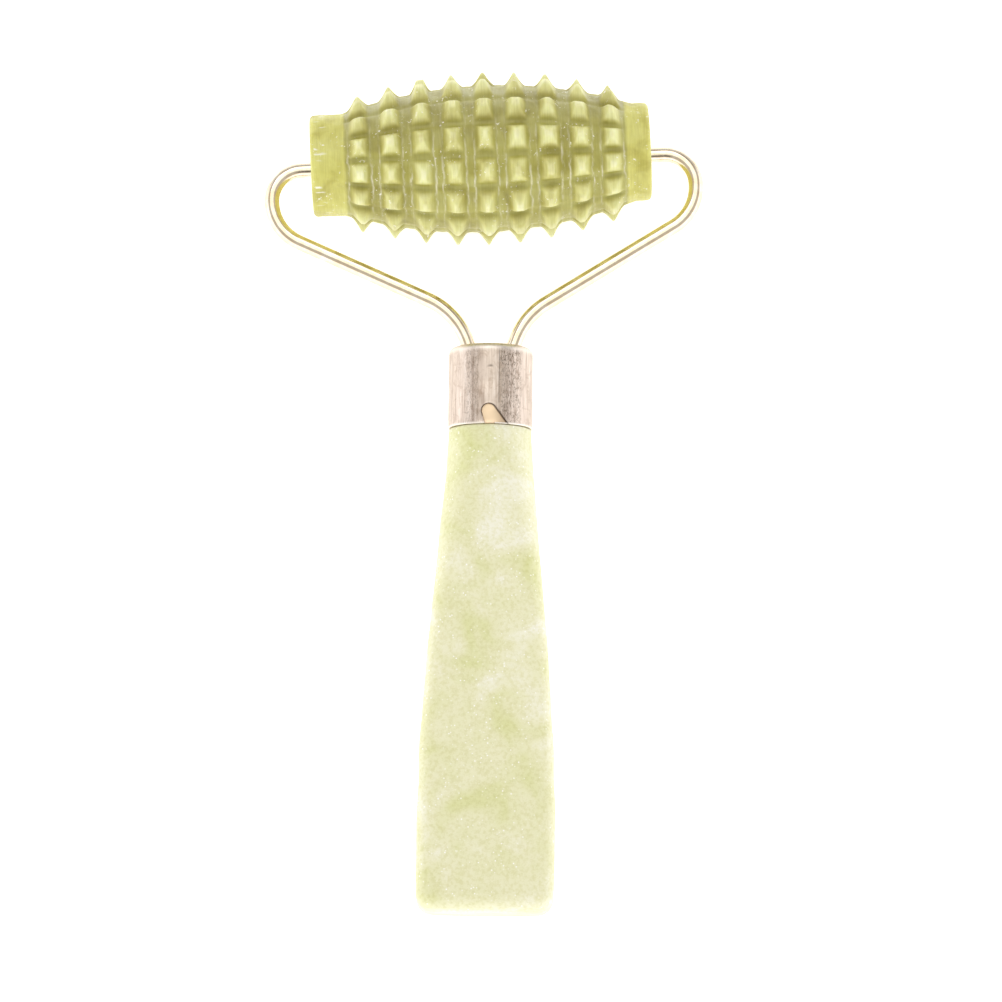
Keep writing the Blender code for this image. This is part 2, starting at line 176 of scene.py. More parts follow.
def ring_mesh(name, rings, place=(TOOL_AXES, TOOL_ZERO), torus=False, marks=None):
    """Skin rows of rings (rows, around, xyz); a torus joins last to first, else poles close it."""
    rows, around = rings.shape[:2]
    index = np.arange(rows * around).reshape(rows, around)
    lower = index if torus else index[:-1]
    upper = np.roll(index, -1, axis=0) if torus else index[1:]
    quads = np.stack([lower, np.roll(lower, -1, 1), np.roll(upper, -1, 1), upper], -1)
    quads = quads.reshape(-1, 4)
    points = rings.reshape(-1, 3)
    fans = np.zeros((0, 3), int)
    if not torus:
        first, last = index[0], index[-1]
        low_pole, high_pole = rows * around, rows * around + 1
        low = np.stack([np.roll(first, -1), first, np.full(around, low_pole)], -1)
        high = np.stack([last, np.roll(last, -1), np.full(around, high_pole)], -1)
        fans = np.concatenate([low, high])
        points = np.concatenate([points, rings[0].mean(0)[None], rings[-1].mean(0)[None]])
    if enclosed_volume(points, quads, fans) < 0:
        quads, fans = quads[:, ::-1], fans[:, ::-1]
    mesh = bpy.data.meshes.new(name)
    mesh.vertices.add(len(points))
    mesh.vertices.foreach_set("co", in_frame(points, *place).astype(np.float32).ravel())
    corners = np.concatenate([quads.ravel(), fans.ravel()])
    sizes = np.concatenate([np.full(len(quads), 4), np.full(len(fans), 3)])
    mesh.loops.add(len(corners))
    mesh.loops.foreach_set("vertex_index", corners.astype(np.int32))
    mesh.polygons.add(len(sizes))
    starts = np.concatenate([[0], np.cumsum(sizes)[:-1]])
    mesh.polygons.foreach_set("loop_start", starts.astype(np.int32))
    grain = mesh.attributes.new("grain", "FLOAT_VECTOR", "POINT")
    grain.data.foreach_set("vector", points.astype(np.float32).ravel())
    for mark, values in (marks or {}).items():
        values = values.ravel()
        values = np.concatenate([values, np.zeros(len(points) - len(values))])
        layer = mesh.attributes.new(mark, "FLOAT", "POINT")
        layer.data.foreach_set("value", values.astype(np.float32))
    mesh.update(calc_edges=True)
    mesh.validate()
    mesh.shade_smooth()
    piece = bpy.data.objects.new(name, mesh)
    bpy.context.scene.collection.objects.link(piece)
    return piece


def enclosed_volume(points, quads, fans):
    """Signed volume inside the faces, negative when they point inwards."""
    faces = np.concatenate([quads[:, [0, 1, 2]], quads[:, [0, 2, 3]], fans])
    a, b, c = (points[faces[:, corner]] for corner in range(3))
    return np.einsum("ij,ij->", a, np.cross(b, c)) / 6


def turned_rings(outline, steps, axis="Y"):
    """Carry an outline of (along, radius) points round the axis in equal steps."""
    outline = np.asarray(outline, float)
    turn = np.linspace(0, math.tau, steps, endpoint=False)
    along = np.repeat(outline[:, :1], steps, 1)
    one = outline[:, 1:] * np.cos(turn)
    two = outline[:, 1:] * np.sin(turn)
    return np.stack([one, along, two], -1) if axis == "Y" else np.stack([along, one, two], -1)


def smooth_noise(x, y, seed, size, waves=24):
    """Soft noise over a plane, mostly between -1 and 1: the sum of many sine waves of about
    one length, in random directions."""
    rng = np.random.default_rng(seed)
    total = np.zeros(np.broadcast(x, y).shape)
    for _ in range(waves):
        angle = rng.uniform(0, math.tau)
        length = size * rng.uniform(0.7, 1.6)
        shift = rng.uniform(0, math.tau)
        total += np.sin((x * math.cos(angle) + y * math.sin(angle)) * math.tau / length + shift)
    return total / math.sqrt(waves)


def wrapped(turn):
    """The same turn between minus and plus half a turn."""
    return (turn + math.pi) % math.tau - math.pi


def eased(share):
    """Smooth step from 0 to 1: three times the share squared, less twice its cube."""
    share = np.clip(share, 0, 1)
    return share * share * (3 - 2 * share)


def arc(centre, radius, start, end, steps):
    """Points of a circular arc, angles in degrees."""
    angle = np.radians(np.linspace(start, end, steps))
    return [(centre[0] + radius * math.cos(a), centre[1] + radius * math.sin(a)) for a in angle]


# ---------------------------------------------------------------- spiked barrel

def floor_radius(x):
    """Radius of the floors between the rings, a parabola that falls off from the middle ring,
    or of the collars beyond them where that is greater."""
    floors = ROOT_RADIUS - ROOT_FALL * (x - RING_SHIFT) ** 2
    collar = np.where(x > 0, RIGHT_COLLAR, LEFT_COLLAR)
    return np.maximum(floors, collar)


def soft_least(a, b, softness=0.11):
    """The lesser of two shares, with the crease between them rounded: the log of the sum of
    their falling exponentials."""
    return -softness * np.log(np.exp(-a / softness) + np.exp(-b / softness))


def tooth_sizes():
    """Each spike's own sizes, as hand grinding leaves them, by ring and by row.

    The two rows at the barrel's sides as it lies are the sharpest. The rest are worn blunter,
    and a few of them flat. Crest and ridge are the half widths of the level top, along the
    barrel and round it. The powers bend the flanks: 1 is straight, and more is hollow along
    the barrel and rounded round it.
    """
    rng = np.random.default_rng(7)
    shape = (RING_COUNT, TEETH_ROUND)
    worn = np.ones(TEETH_ROUND)
    worn[SHARP_ROWS] = 0
    crest = rng.uniform(*CREST, shape) + worn * rng.uniform(*CREST_WEAR, shape)
    crest = np.where((rng.random(shape) < BLUNT_CHANCE) & (worn > 0), BLUNT_CREST, crest)
    crest[BLUNT_RING, SHARP_ROWS[0]] = BLUNT_CREST
    ridge = rng.uniform(*RIDGE, shape) + worn * rng.uniform(*RIDGE_WEAR, shape)
    lost = np.abs(rng.normal(0, HEIGHT_SPREAD, shape)) + rng.uniform(*HEIGHT_WEAR, shape)
    return {
        "crest": crest,
        "ridge": ridge,
        "height": 1 - worn * lost,
        "slip_along": rng.normal(0, SLIP_ALONG, shape),
        "slip_round": rng.normal(0, SLIP_ROUND, shape),
        "foot": rng.uniform(*FOOT, shape),
        "along_power": rng.uniform(*HOLLOW, shape) - HOLLOW_WEAR * worn,
        "round_power": rng.uniform(*ROUNDING, shape),
    }


def spikes(x, turn):
    """Height share of the spikes, 0 on the floors to 1 at the tips, and the marks of their flutes, darkened with
    painted shade, and of the white dust at their feet.

    A spike is the lesser of two ramps: one falls off along the barrel from a narrow crest to
    the ring's foot, hollow like the wheel that cut it, the other falls off round the barrel
    from its ridge to the level strips, with a rounded top.
    """
    from_rings = x - RING_SHIFT
    middle_ring = (RING_COUNT - 1) / 2
    ring = np.clip(np.round(from_rings / RING_PITCH) + middle_ring, 0, RING_COUNT - 1)
    ring = ring.astype(int)
    pitches = (turn - ROLLER_PHASE) * TEETH_ROUND / math.tau
    tooth = np.round(pitches).astype(int)
    off = pitches - tooth
    tooth = tooth % TEETH_ROUND
    own = {name: size[ring, tooth] for name, size in tooth_sizes().items()}
    middle = (ring - middle_ring) * RING_PITCH
    pitch_round = math.tau * ROOT_RADIUS / TEETH_ROUND
    steady = 1 - np.abs(2 * off)
    off_along = np.abs(from_rings - middle - own["slip_along"] * steady)
    off_round = np.abs(off * pitch_round - own["slip_round"] * steady)
    along = np.clip((own["foot"] - off_along) / (own["foot"] - own["crest"]), 0, 1)
    along = along ** own["along_power"]
    reach = pitch_round / 2 - FLUTE_FLAT - own["ridge"]
    gone = np.clip((off_round - own["ridge"]) / reach, 0, 1)
    around = 1 - gone ** own["round_power"]
    share = soft_least(along, around) / soft_least(np.ones(1), np.ones(1)) * own["height"]
    ring_side = np.round(x / 2.7) * 9.0      # puts each side of each ring on its own noise line
    wobble = FOOT_WOBBLE * smooth_noise(turn * NOISE_ARC, ring_side, 5, 2.2)
    from_foot = off_along - own["foot"] - FOOT_LINE_OUT - wobble
    return {
        "spike_share": np.clip(share, 0, 1),
        "ring_share": along,
        "flute": np.exp(-((0.5 - np.abs(off)) * pitch_round / FLUTE_HALF) ** 2),
        "foot_line": np.exp(-(from_foot / FOOT_LINE_HALF) ** 2),
    }


def barrel_stations():
    """Places along the barrel: closer together on the rings than on the collars."""
    end = ROLLER_LENGTH / 2 - COLLAR_EDGE
    reach = RING_PITCH * RING_COUNT / 2
    rings = np.linspace(RING_SHIFT - reach, RING_SHIFT + reach, RING_COUNT * STATIONS_PER_RING + 1)
    left = np.linspace(-end, rings[0], 18)[:-1]
    right = np.linspace(rings[-1], end, 14)[1:]
    return np.concatenate([left, rings, right])


def barrel_skin(x, turn):
    """Radius of the barrel's outside over place and turn, and the marks its finish follows.

    The radius is the floor's, plus the spike share of the way from the floor to the tips'
    parabola, less the flutes, with an uneven, gritty surface and small chips on the collars.
    """
    marks = spikes(x, turn)
    in_rings = eased((RING_PITCH * RING_COUNT / 2 - np.abs(x - RING_SHIFT)) / 0.5)
    marks = {name: mark * in_rings for name, mark in marks.items()}
    share = marks["spike_share"]
    floor = floor_radius(x)
    crest = TIP_RADIUS - TIP_FALL * (x - RING_SHIFT) ** 2
    radius = floor + (crest - floor) * share
    radius -= FLUTE_DEPTH * marks["flute"] * (1 - share) ** 2
    round_way = turn * NOISE_ARC
    uneven = smooth_noise(x, round_way, 3, UNEVEN_SIZE)
    radius += UNEVEN_HEIGHT * uneven * (1 - 0.6 * share) - UNEVEN_DROP
    radius += GRIT_HEIGHT * smooth_noise(x, round_way, 4, GRIT_SIZE)
    chipped = eased((smooth_noise(x, round_way, 6, CHIP_SIZE) - 1.5) / 0.5)
    radius -= CHIP_DEPTH * chipped * (1 - in_rings)
    radius = np.minimum(radius, np.maximum(crest, floor))

    dusty = np.exp(-((wrapped(turn - DUSTY_TURN)) / DUSTY_REACH) ** 2)
    marks["foot_line"] *= 0.12 + 0.88 * dusty
    greyed = 0.8 * np.exp(-(wrapped(turn - GREY_TURN) / GREY_REACH) ** 2) * in_rings
    marks["greyed"] = greyed * (1 - eased(marks.pop("ring_share") / 0.3))
    marks["collar"] = 1 - in_rings
    nicks = eased((smooth_noise(round_way, x * 0.25, 8, 1.3) - 0.75) / 0.35)
    marks["nicks"] = nicks * eased((NICKED_FROM - x) / NICKED_FADE)
    return radius, marks


def barrel_ends(right_edge, left_edge):
    """Rings from the right collar's rounded edge, in over its face, through the bore and out
    to the left collar's edge, as (place, radius) rows; each edge is a quarter circle."""
    end = ROLLER_LENGTH / 2
    right, left = [], []
    for angle in np.radians([18, 36, 54, 72, 90]):
        inset = COLLAR_EDGE * (1 - math.cos(angle))
        out = end - COLLAR_EDGE + COLLAR_EDGE * math.sin(angle)
        right.append((out, right_edge - inset))
        left.append((-out, left_edge - inset))
    face = [(end, 6.0), (end, 4.4), (end, BORE_RADIUS + 0.15), (end - 0.15, BORE_RADIUS)]
    bore = face + [(-out, radius) for out, radius in reversed(face)]
    rows = right + bore + left[::-1]
    place = np.array([row[0] for row in rows])[:, None] + np.zeros(right_edge.shape)
    return place, np.stack([row[1] + np.zeros(right_edge.shape) for row in rows])


def barrel_rings():
    """The barrel's outside, then its ends and bore, as rings round the spin axis."""
    turn = np.linspace(0, math.tau, TEETH_ROUND * STEPS_PER_TOOTH, endpoint=False)
    x, turns = np.meshgrid(barrel_stations(), turn, indexing="ij")
    radius, marks = barrel_skin(x, turns)
    end_x, end_radius = barrel_ends(radius[-1], radius[0])
    all_x = np.concatenate([x, end_x])
    all_radius = np.concatenate([radius, end_radius])
    rings = np.stack([all_x, all_radius * np.cos(turn), all_radius * np.sin(turn)], -1)
    unmarked = np.zeros(end_x.shape)
    marks = {name: np.concatenate([mark, unmarked]) for name, mark in marks.items()}
    marks["collar"][len(x):] = 1
    return rings, marks


def roller_stone():
    """Spiked barrel of stone, in place of its plain design solid."""
    rings, marks = barrel_rings()
    piece = ring_mesh("spiked_barrel", rings, (ROLLER_AXES, ROLLER_MIDDLE), True, marks)
    piece.data.materials.append(turned_olive_jade())
    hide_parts("roller_stone")
    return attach(piece, "roller")


def bush(side):
    """Moulded sleeve with eased rims, in one end of the bore."""
    direction = 1 if side == "right" else -1
    outer = ROLLER_LENGTH / 2 - FIT_GAP
    inner = outer - BUSH_LENGTH
    half = [(outer - 0.2, BUSH_BORE), (outer, BUSH_BORE + 0.2), (outer, BUSH_RADIUS - 0.25),
            (outer - 0.25, BUSH_RADIUS), (inner + 0.2, BUSH_RADIUS), (inner, BUSH_RADIUS - 0.2),
            (inner, BUSH_BORE + 0.1), (inner + 0.1, BUSH_BORE)]
    outline = [(direction * along, radius) for along, radius in half]
    rings = turned_rings(outline, 64, "X")
    piece = ring_mesh("sleeve_" + side, rings, (ROLLER_AXES, ROLLER_MIDDLE), True)
    piece.data.set_sharp_from_angle(angle=math.radians(40))
    piece.data.materials.append(moulded_acetal())
    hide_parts("bush_" + side)
    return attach(piece, "roller")


# ---------------------------------------------------------------- wire frame

def head_point(x, y):
    """A point of the head's own plan, tilted about the ferrule's top."""
    cos, sin = math.cos(HEAD_TILT), math.sin(HEAD_TILT)
    return np.array([x * cos - y * sin, x * sin + y * cos])


def filleted(corners, bends, step=3.0):
    """Round each inner corner with an arc of its own radius, a point every few degrees."""
    path = [corners[0]]
    for before, corner, after, radius in zip(corners, corners[1:], corners[2:], bends):
        back = (before - corner) / np.linalg.norm(before - corner)
        ahead = (after - corner) / np.linalg.norm(after - corner)
        half_open = math.acos(np.clip(back @ ahead, -1, 1)) / 2
        bisector = (back + ahead) / np.linalg.norm(back + ahead)
        centre = corner + bisector * radius / math.sin(half_open)
        arm = corner + back * radius / math.tan(half_open) - centre
        turn = (math.pi - 2 * half_open) * np.sign(back[1] * ahead[0] - back[0] * ahead[1])
        count = max(3, round(abs(math.degrees(turn)) / step))
        for part in np.linspace(0, turn, count + 1):
            cos, sin = math.cos(part), math.sin(part)
            path.append(centre + np.array([arm[0] * cos - arm[1] * sin,
                                           arm[0] * sin + arm[1] * cos]))
    path.append(corners[-1])
    return np.array(path)


def side_corners(side, knee):
    """Corners of one side of the wire, from the inner end of its stub to its knee."""
    run = [(STUB_X, STUB_REACH), (SIDE_X, STUB_REACH), (SIDE_X, ARM_FOOT_Y), knee]
    return [head_point(side * x, y) for x, y in run]


def wire_path():
    """Middle line of the wire, from the right stub round the hairpin to the left stub."""
    right = side_corners(1, RIGHT_KNEE)
    right += [np.array([LEG_X, LEG_Y]), np.array([LEG_X, HAIRPIN_Y])]
    left = [np.array([-LEG_X, HAIRPIN_Y]), np.array([-LEG_X, LEG_Y])]
    left += side_corners(-1, LEFT_KNEE)[::-1]
    return filleted(right + left, SIDE_BENDS + [HAIRPIN_BEND] * 2 + SIDE_BENDS[::-1])


def evenly(path, spacing):
    """The same line with points at an even spacing, and how far along it each one is."""
    runs = np.linalg.norm(np.diff(path, axis=0), axis=1)
    gone = np.concatenate([[0], np.cumsum(runs)])
    want = np.linspace(0, gone[-1], max(2, round(gone[-1] / spacing)))
    return np.stack([np.interp(want, gone, path[:, axis]) for axis in range(2)], -1), want


def tube_rings(path, radii, steps):
    """Carry a circle along a flat path; its plane stays square to the path."""
    run = np.gradient(path, axis=0)
    run = run / np.linalg.norm(run, axis=1)[:, None]
    side = np.stack([-run[:, 1], run[:, 0]], -1)
    turn = np.linspace(0, math.tau, steps, endpoint=False)
    radii = np.broadcast_to(np.asarray(radii)[:, None], (len(path), steps))
    across = radii * np.cos(turn)
    flat = path[:, None, :] + side[:, None, :] * across[..., None]
    return np.concatenate([flat, (radii * np.sin(turn))[..., None]], -1)


def wire_frame():
    """Bright bent wire: a circle carried along its middle line, a little smaller at the ends."""
    path, gone = evenly(wire_path(), WIRE_SPACING)
    to_end = np.minimum(gone, gone[-1] - gone)
    radii = WIRE_RADIUS - STUB_END_LOSS * np.clip(1 - to_end / STUB_END_LENGTH, 0, 1) ** 2
    piece = ring_mesh("bent_wire", tube_rings(path, radii, WIRE_STEPS))
    piece.data.materials.append(gold_plated_spring_wire())
    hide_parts("wire_frame")
    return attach(piece, "grip")


# ---------------------------------------------------------------- ferrule

def clinch_distance(across, rise):
    """Distance outside the pressed tongue's outline, less than zero inside it.

    The outline is the tight band round a circle and the toe and heel below the rim, so the
    distance is the greatest of those beyond each of the band's straight sides.
    """
    round_side = arc(TONGUE_HEAD, TONGUE_HEAD_RADIUS, 40, 190, 15)
    outline = np.array([TONGUE_TOE] + round_side + [TONGUE_HEEL])
    followers = np.roll(outline, -1, 0)
    run = followers - outline
    run = run / np.linalg.norm(run, axis=1)[:, None]
    outward = np.stack([run[:, 1], -run[:, 0]], -1)
    offsets = np.einsum("ij,ij->i", outward, outline)
    spread = across[..., None] * outward[:, 0] + rise[..., None] * outward[:, 1]
    return (spread - offsets).max(-1)


def ferrule_turns():
    """Angles round the ferrule, closer together over the pressed tongue."""
    fine = np.radians(np.arange(50, 122, 0.5))
    coarse = np.radians(np.linspace(122, 410, 120, endpoint=False))
    return np.concatenate([fine, coarse])


def ferrule_outline():
    """The cap's outline as (height, radius) and how many of its points are inside.

    It runs out under the top, down the inside, round the rim, up the flared wall, round the
    shoulder and in over the top.
    """
    inner = FERRULE_RADIUS - FERRULE_WALL
    rim = -FERRULE_LENGTH
    inside = [(-FERRULE_WALL, radius) for radius in (0.6, 2.0, 4.0)]
    inside += [(y - FERRULE_WALL - INNER_ROUND, r + inner - INNER_ROUND)
               for r, y in arc((0, 0), INNER_ROUND, 90, 0, 5)]
    inside += [(y, inner) for y in np.linspace(-2.5, rim + 0.1, 8)]
    inside += [(rim, inner + 0.1)]
    lip = [(rim, FERRULE_LIP - 0.12), (rim + 0.04, FERRULE_LIP - 0.03)]
    over_tongue = np.arange(rim + 0.12, rim + 4.4, 0.08)
    above = np.arange(rim + 4.5, -FERRULE_SHOULDER, 0.16)
    wall = [(y, FERRULE_RADIUS + RIM_FLARE * math.exp(-((y - rim) / RIM_FLARE_LENGTH) ** 2))
            for y in (*over_tongue, *above)]
    shoulder = [(y, r) for r, y in arc((FERRULE_RADIUS - FERRULE_SHOULDER, -FERRULE_SHOULDER),
                                       FERRULE_SHOULDER, 0, 90, 12)]
    top = [(0, radius) for radius in (5.4, 4.6, 3.8, 3.0, 2.2, 1.4, 0.6)]
    return np.array(inside + lip + wall + shoulder + top), len(inside)


def tongue_marks(across, rise):
    """How far the tongue is pressed in, the burr round it, and the painted shade along its
    edge, a dark line which widens to the toe and is open at the heel."""
    distance = clinch_distance(across, rise)
    whole_lip = (rise < WHOLE_LIP_RISE) & (across > WHOLE_LIP_FROM)
    pressed = eased(-distance / TONGUE_FLANK) * ~whole_lip
    burr = np.exp(-((distance - BURR_OUT) / BURR_HALF) ** 2)
    line = 0.07 + 0.05 * eased((across - 0.4 + 0.3 * rise) / 1.5)
    open_heel = eased((rise - 0.9) / 0.6 + 2 * eased(across / 0.5))
    return pressed, burr, np.exp(-(distance / line) ** 2) * open_heel


def band(across, edges, fade):
    """Full share between two edges, fading to nothing at each of them."""
    return eased((across - edges[0]) / fade) * eased((edges[1] - across) / fade)


def ferrule_rings():
    """The cap's outline carried round, pressed in at the tongue, dented and marked in front.

    From the outline's radius come off the dents, the tongue's depth, a short curved tool mark
    and a fine upright fold, and a burr round the tongue is added.
    """
    turn = ferrule_turns()
    outline, inside = ferrule_outline()
    outside = (np.arange(len(outline)) >= inside)[:, None]
    y = np.repeat(outline[:, :1], len(turn), 1)
    radius = np.repeat(outline[:, 1:], len(turn), 1)
    angle = np.repeat(turn[None], len(outline), 0)
    across = -FERRULE_RADIUS * np.sin(angle - math.pi / 2)
    rise = y + FERRULE_LENGTH
    front = (np.sin(angle) > FRONT_SHARE) * outside
    on_wall = outside * eased((-0.6 - y) / 1.2)

    dents = smooth_noise(across, y, 21, DENT_SIZE) * DENT_DEPTH
    ripples = smooth_noise(FERRULE_RADIUS * np.cos(angle * 2), y, 22, RIPPLE_SIZE)
    dents += ripples * RIPPLE_DEPTH
    radius = np.minimum(radius + on_wall * (dents - DENT_DROP), radius)
    pressed, burr, edge = [mark * front for mark in tongue_marks(across, rise)]
    off_mark = (rise - TOOL_MARK_RISE + 0.5 * across ** 2) / 0.15
    tool_mark = np.exp(-(across / 0.5) ** 2 - off_mark ** 2) * front
    fold = np.exp(-((across - FOLD_X) / 0.07) ** 2) * front * on_wall * (rise > FOLD_FOOT)
    radius = radius - TONGUE_DEPTH * pressed + BURR_HEIGHT * burr
    radius = radius - TOOL_MARK_DEPTH * tool_mark - FOLD_DEPTH * fold

    scuffed = band(across, SCUFFED_BAND, SCUFFED_FADE) * (1 - pressed)
    scuffed = scuffed * (0.75 + 0.25 * np.exp(-((y + 2.7) / 1.3) ** 2))
    scuffed = scuffed + RUBBED_SHARE * band(across, RUBBED_BAND, RUBBED_FADE)
    # Painted highlight along the rim's lip and round the shoulder.
    bright = np.exp(-(rise / 0.28) ** 2) + 0.7 * np.exp(-((y + 0.75) / 0.5) ** 2)
    rings = np.stack([radius * np.cos(angle), y, radius * np.sin(angle)], -1)
    # The tongue's edge line, the tool mark and the fold carry painted shade.
    return rings, {"crease_shade": edge + 0.65 * tool_mark + 0.6 * fold, "scuffed": scuffed * front,
                   "pressed": pressed, "rim_shoulder_highlight": bright * outside}


def cut_wire_holes(piece):
    """Open the two holes in the cap's top by cutting the wire and its gap out of it."""
    path, _ = evenly(wire_path(), 0.8)
    leg = path[(path[:, 1] < 4) & (path[:, 1] > -6)]
    for name, run in (("right_leg", leg[leg[:, 0] > 0]), ("left_leg", leg[leg[:, 0] < 0])):
        drill = ring_mesh(name, tube_rings(run, np.full(len(run), WIRE_RADIUS + HOLE_GAP), 32))
        hole = piece.modifiers.new(name, "BOOLEAN")
        hole.operation = "DIFFERENCE"
        hole.solver = "EXACT"
        hole.object = drill
        depsgraph = bpy.context.evaluated_depsgraph_get()
        mesh = bpy.data.meshes.new_from_object(piece.evaluated_get(depsgraph))
        piece.modifiers.clear()
        piece.data = mesh
        bpy.data.objects.remove(drill, do_unlink=True)


def ferrule():
    """Drawn cap with a pressed tongue, small dents and two drilled holes."""
    rings, marks = ferrule_rings()
    piece = ring_mesh("drawn_ferrule", rings, marks=marks)
    cut_wire_holes(piece)
    piece.data.shade_smooth()
    piece.data.set_sharp_from_angle(angle=math.radians(50))
    piece.data.materials.clear()
    piece.data.materials.append(nickel_plated_sheet())
    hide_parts("ferrule")
    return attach(piece, "grip")


# ---------------------------------------------------------------- handle

def swell(share):
    """How far the section has grown, from 0 at the neck to 1: half a quarter sine wave and
    half a smooth step."""
    share = np.clip(share, 0, 1)
    return 0.5 * np.sin(math.pi / 2 * share) + 0.5 * eased(share)


def reach_of_section(turn, half_width, half_depth, corner):
    """Distance from the middle to a rounded rectangle in each direction round it."""
    cos, sin = np.abs(np.cos(turn)), np.abs(np.sin(turn))
    to_side = half_width / np.maximum(cos, 1e-9)
    to_face = half_depth / np.maximum(sin, 1e-9)
    corner_x, corner_z = half_width - corner, half_depth - corner
    along = corner_x * cos + corner_z * sin
    beyond = along ** 2 - corner_x ** 2 - corner_z ** 2 + corner ** 2
    to_corner = along + np.sqrt(np.maximum(beyond, 0))
    on_side = to_side * sin <= corner_z
    on_face = to_face * cos <= corner_x
    return np.where(on_side, to_side, np.where(on_face, to_face, to_corner))


def bar_stations():
    """How far each ring of the bar lies below the shoulder, and its inset: a small eased
    shoulder, even stations down the swell, then a quarter circle round the butt's edge."""
    body_end = HANDLE_LENGTH - BUTT_EDGE
    shoulder = [NECK_GAP + 0.06, NECK_GAP + 0.2, 0.5]
    below = np.concatenate([shoulder, np.linspace(0.8, body_end, HANDLE_STATIONS)])
    inset = np.where(below < 0.2, 0.1, 0.0)
    edge = np.radians(np.linspace(0, 90, 13)[1:])
    below = np.concatenate([below, body_end + BUTT_EDGE * np.sin(edge)])
    inset = np.concatenate([inset, BUTT_EDGE * (1 - np.cos(edge))])
    return below[:, None], inset[:, None]


def handle_rings():
    """Rings from the socket's floor over the tenon, then down the swelling bar to the butt.

    Each ring of the bar is a rounded rectangle. Its half width and half depth grow from the
    neck's radius along an eased curve while its corners tighten from the neck's circle, and
    long soft waves are ground into its faces.
    """
    turn = np.linspace(0, math.tau, HANDLE_STEPS, endpoint=False)
    neck_y = -FERRULE_LENGTH - NECK_GAP
    plain = np.array([
        (SOCKET_FLOOR, 1.5), (SOCKET_FLOOR, SOCKET_RADIUS), (TENON_TOP, SOCKET_RADIUS),
        (TENON_TOP, TENON_RADIUS - 0.2), (TENON_TOP - 0.2, TENON_RADIUS),
        (neck_y, TENON_RADIUS), (neck_y, NECK_HALF - 0.25)])
    below, inset = bar_stations()
    grown, deepened = swell(below / SWELL_LENGTH), swell(below / DEPTH_LENGTH)
    half_width = NECK_HALF + (BUTT_HALF_WIDTH - NECK_HALF) * grown - inset
    half_depth = NECK_HALF + (BUTT_HALF_DEPTH - NECK_HALF) * deepened - inset
    corner = NECK_HALF + (CORNER_RADIUS - NECK_HALF) * deepened
    corner = np.minimum(corner, np.minimum(half_width, half_depth))
    y = -FERRULE_LENGTH - below
    reach = reach_of_section(turn, half_width, half_depth, corner)
    waves = smooth_noise(y, WAVE_RADIUS * np.cos(turn), 31, 14.0)
    waves += smooth_noise(y, WAVE_RADIUS * np.sin(turn), 32, 9.0)
    reach = reach - HANDLE_WAVE + HANDLE_WAVE * waves * np.minimum(1, below / 4)
    butt_face = reach[-1] * np.array([[0.75], [0.5], [0.25]])
    reach = np.concatenate([plain[:, 1:] + np.zeros(HANDLE_STEPS), reach, butt_face])
    y = np.concatenate([plain[:, :1], y, np.full((3, 1), y[-1, 0])]) + np.zeros(HANDLE_STEPS)
    return np.stack([reach * np.cos(turn), y, reach * np.sin(turn)], -1)


def handle():
    """Polished stone bar with its tenon and socket."""
    piece = ring_mesh("stone_handle", handle_rings())
    piece.data.set_sharp_from_angle(angle=math.radians(50))
    piece.data.materials.append(polished_pale_jade())
    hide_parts("handle")
    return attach(piece, "grip")


# ---------------------------------------------------------------- materials
# The grain attribute holds a piece's own millimetres, so a noise scale of 1 / 9 makes clouds
# about 9 mm across. A mix takes its share at input 0 and its two colours at 6 and 7.

def colour(code):
    """An sRGB hex colour as linear RGBA."""
    parts = [int(code[start:start + 2], 16) / 255 for start in (0, 2, 4)]
    linear = [p / 12.92 if p <= 0.04045 else ((p + 0.055) / 1.055) ** 2.4 for p in parts]
    return (*linear, 1.0)


def feed(tree, node, inputs):
    """Set a node's inputs, by name or number: a socket is linked, a hex colour converted."""
    for name, value in inputs.items():
        if isinstance(value, bpy.types.NodeSocket):
            tree.links.new(value, node.inputs[name])
        else:
            value = colour(value) if isinstance(value, str) else value
            node.inputs[name].default_value = value


def add(tree, kind, inputs=None, stops=None, **settings):
    """Add a node with its inputs, its own settings and, for a ramp, its places and colours."""
    made = tree.nodes.new(kind)
    for name, value in settings.items():
        setattr(made, name, value)
    feed(tree, made, inputs or {})
    if stops:
        ramp = made.color_ramp
        while len(ramp.elements) < len(stops):
            ramp.elements.new(0.5)
        for element, (where, code) in zip(ramp.elements, stops):
            element.position = where
            element.color = colour(code)
    return made


def bare_material(name):
    """A material with only its Principled shader, and its node tree and shader."""
    material = bpy.data.materials.new(name)
    material.use_nodes = True
    return material, material.node_tree, material.node_tree.nodes["Principled BSDF"]


